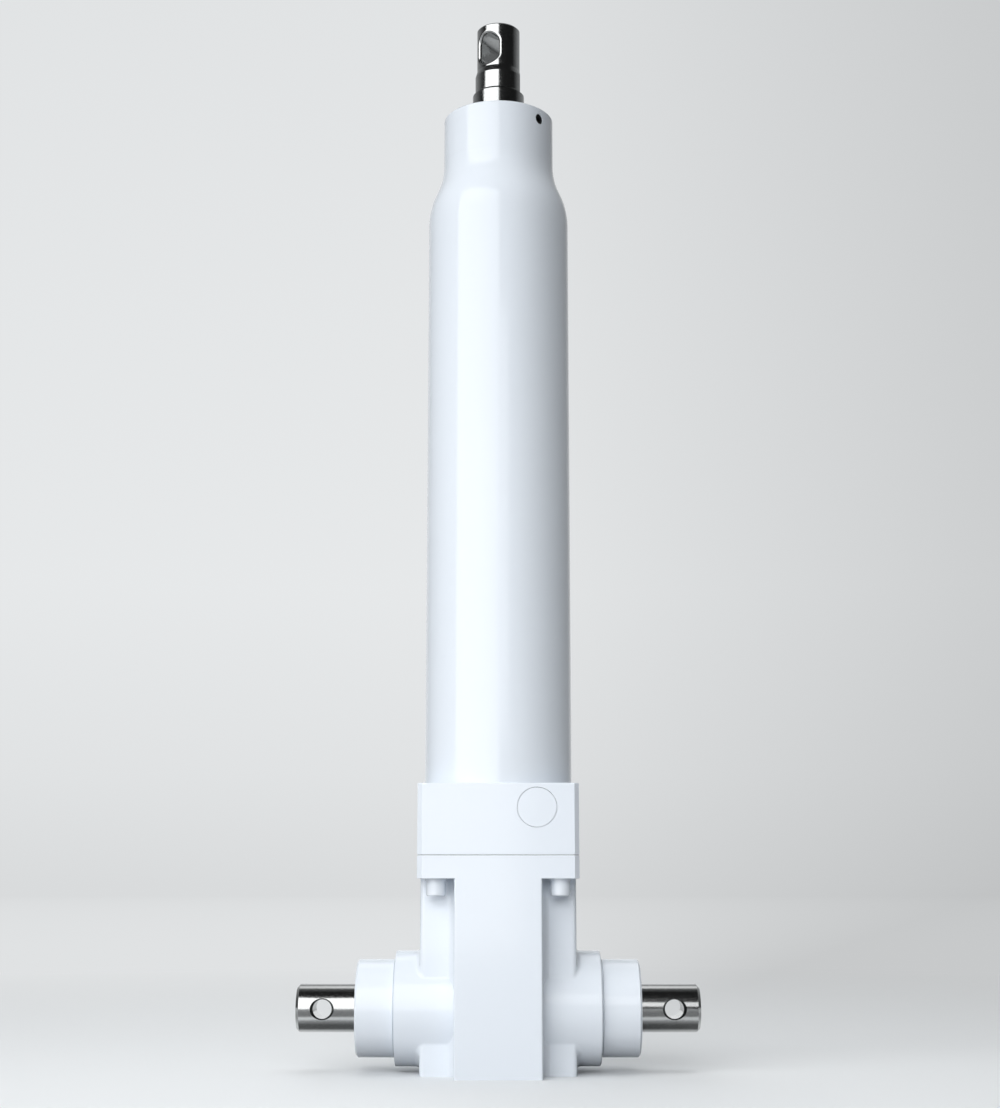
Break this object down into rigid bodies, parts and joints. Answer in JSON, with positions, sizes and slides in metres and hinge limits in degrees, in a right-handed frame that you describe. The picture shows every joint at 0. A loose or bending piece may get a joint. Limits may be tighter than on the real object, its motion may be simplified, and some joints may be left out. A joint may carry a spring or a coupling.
{
  "type": "linear actuator",
  "caption": "Upright screw actuator: square mitre gearbox with a through input shaft, swaged white tube and a stainless push rod with a slotted end.",
  "frame": {"origin": "centre of the gearbox's base face, on the surface it stands on", "axes": "+Z is the stroke direction along the tube, X is the input shaft's axis, -Y is the front with the round grease plug"},
  "size_m": [0.214, 0.084, 0.592],
  "materials": {
    "white_paint": "gloss white powder coat",
    "white_paint_screw": "gloss white over the fasteners",
    "polished_stainless": "ground and polished stainless steel",
    "tube_stainless": "ground stainless steel",
    "alloy_steel": "hardened, ground and oiled",
    "gear_steel": "case-hardened, oiled",
    "bearing_steel": "polished bearing steel",
    "cage_brass": "pressed brass",
    "bronze": "cast tin bronze",
    "black_oxide": "black oxide",
    "spring_steel": "phosphated spring steel",
    "seal_rubber": "nitrile rubber",
    "bumper_urethane": "polyurethane",
    "guide_acetal": "natural acetal",
    "gasket_paper": "pressed fibre gasket"
  },
  "bodies": {
    "housing": {"gear_housing": "white_paint", "flange_gasket": "gasket_paper", "tube_flange": "white_paint", "outer_tube": "white_paint", "grease_plug": "white_paint", "flange_screws": "white_paint_screw", "flange_spring_washers": "white_paint_screw", "flange_plain_washers": "white_paint_screw", "guide_bush": "bronze", "guide_lock_screw": "black_oxide", "rod_wiper": "seal_rubber", "extend_bumper": "bumper_urethane", "bearing_cap_left": "white_paint", "bearing_cap_right": "white_paint", "cap_o_rings": "seal_rubber", "shaft_seals": "seal_rubber", "input_bearing_outer_rings": "bearing_steel", "screw_bearing_outer_rings": "bearing_steel"},
    "input": {"input_shaft": "polished_stainless", "drive_gear": "gear_steel", "drive_gear_pin": "spring_steel", "shaft_circlip": "spring_steel", "input_bearing_inner_rings": "bearing_steel", "input_bearing_balls": "bearing_steel", "input_bearing_cages": "cage_brass"},
    "screw": {"lead_screw": "alloy_steel", "driven_gear": "gear_steel", "driven_gear_pin": "spring_steel", "bearing_lock_nut": "black_oxide", "bearing_lock_washer": "spring_steel", "screw_bearing_inner_rings": "bearing_steel", "screw_bearing_balls": "bearing_steel", "screw_bearing_cages": "cage_brass", "screw_tip_guide": "guide_acetal", "tip_circlip": "spring_steel"},
    "rod": {"push_tube": "tube_stainless", "rod_end": "polished_stainless", "drive_nut": "bronze", "nut_lock_screws": "black_oxide", "guide_ring": "guide_acetal", "guide_circlip": "spring_steel"}
  },
  "joints": [
    {"name": "input_spin", "type": "hinge", "parent": "housing", "child": "input", "pos_m": [0, 0, 0.033], "axis": [1, 0, 0], "range_deg": [0, 21600]},
    {"name": "screw_spin", "type": "hinge", "parent": "housing", "child": "screw", "pos_m": [0, 0, 0.3], "axis": [0, 0, 1], "range_deg": [-21600, 0]},
    {"name": "rod_slide", "type": "slide", "parent": "housing", "child": "rod", "axis": [0, 0, 1], "range_m": [0, 0.3]}
  ],
  "couplings": [
    {"joint": "input_spin", "follows": "rod_slide", "rad_per_m": 1256.6},
    {"joint": "screw_spin", "follows": "rod_slide", "rad_per_m": -1256.6}
  ]
}
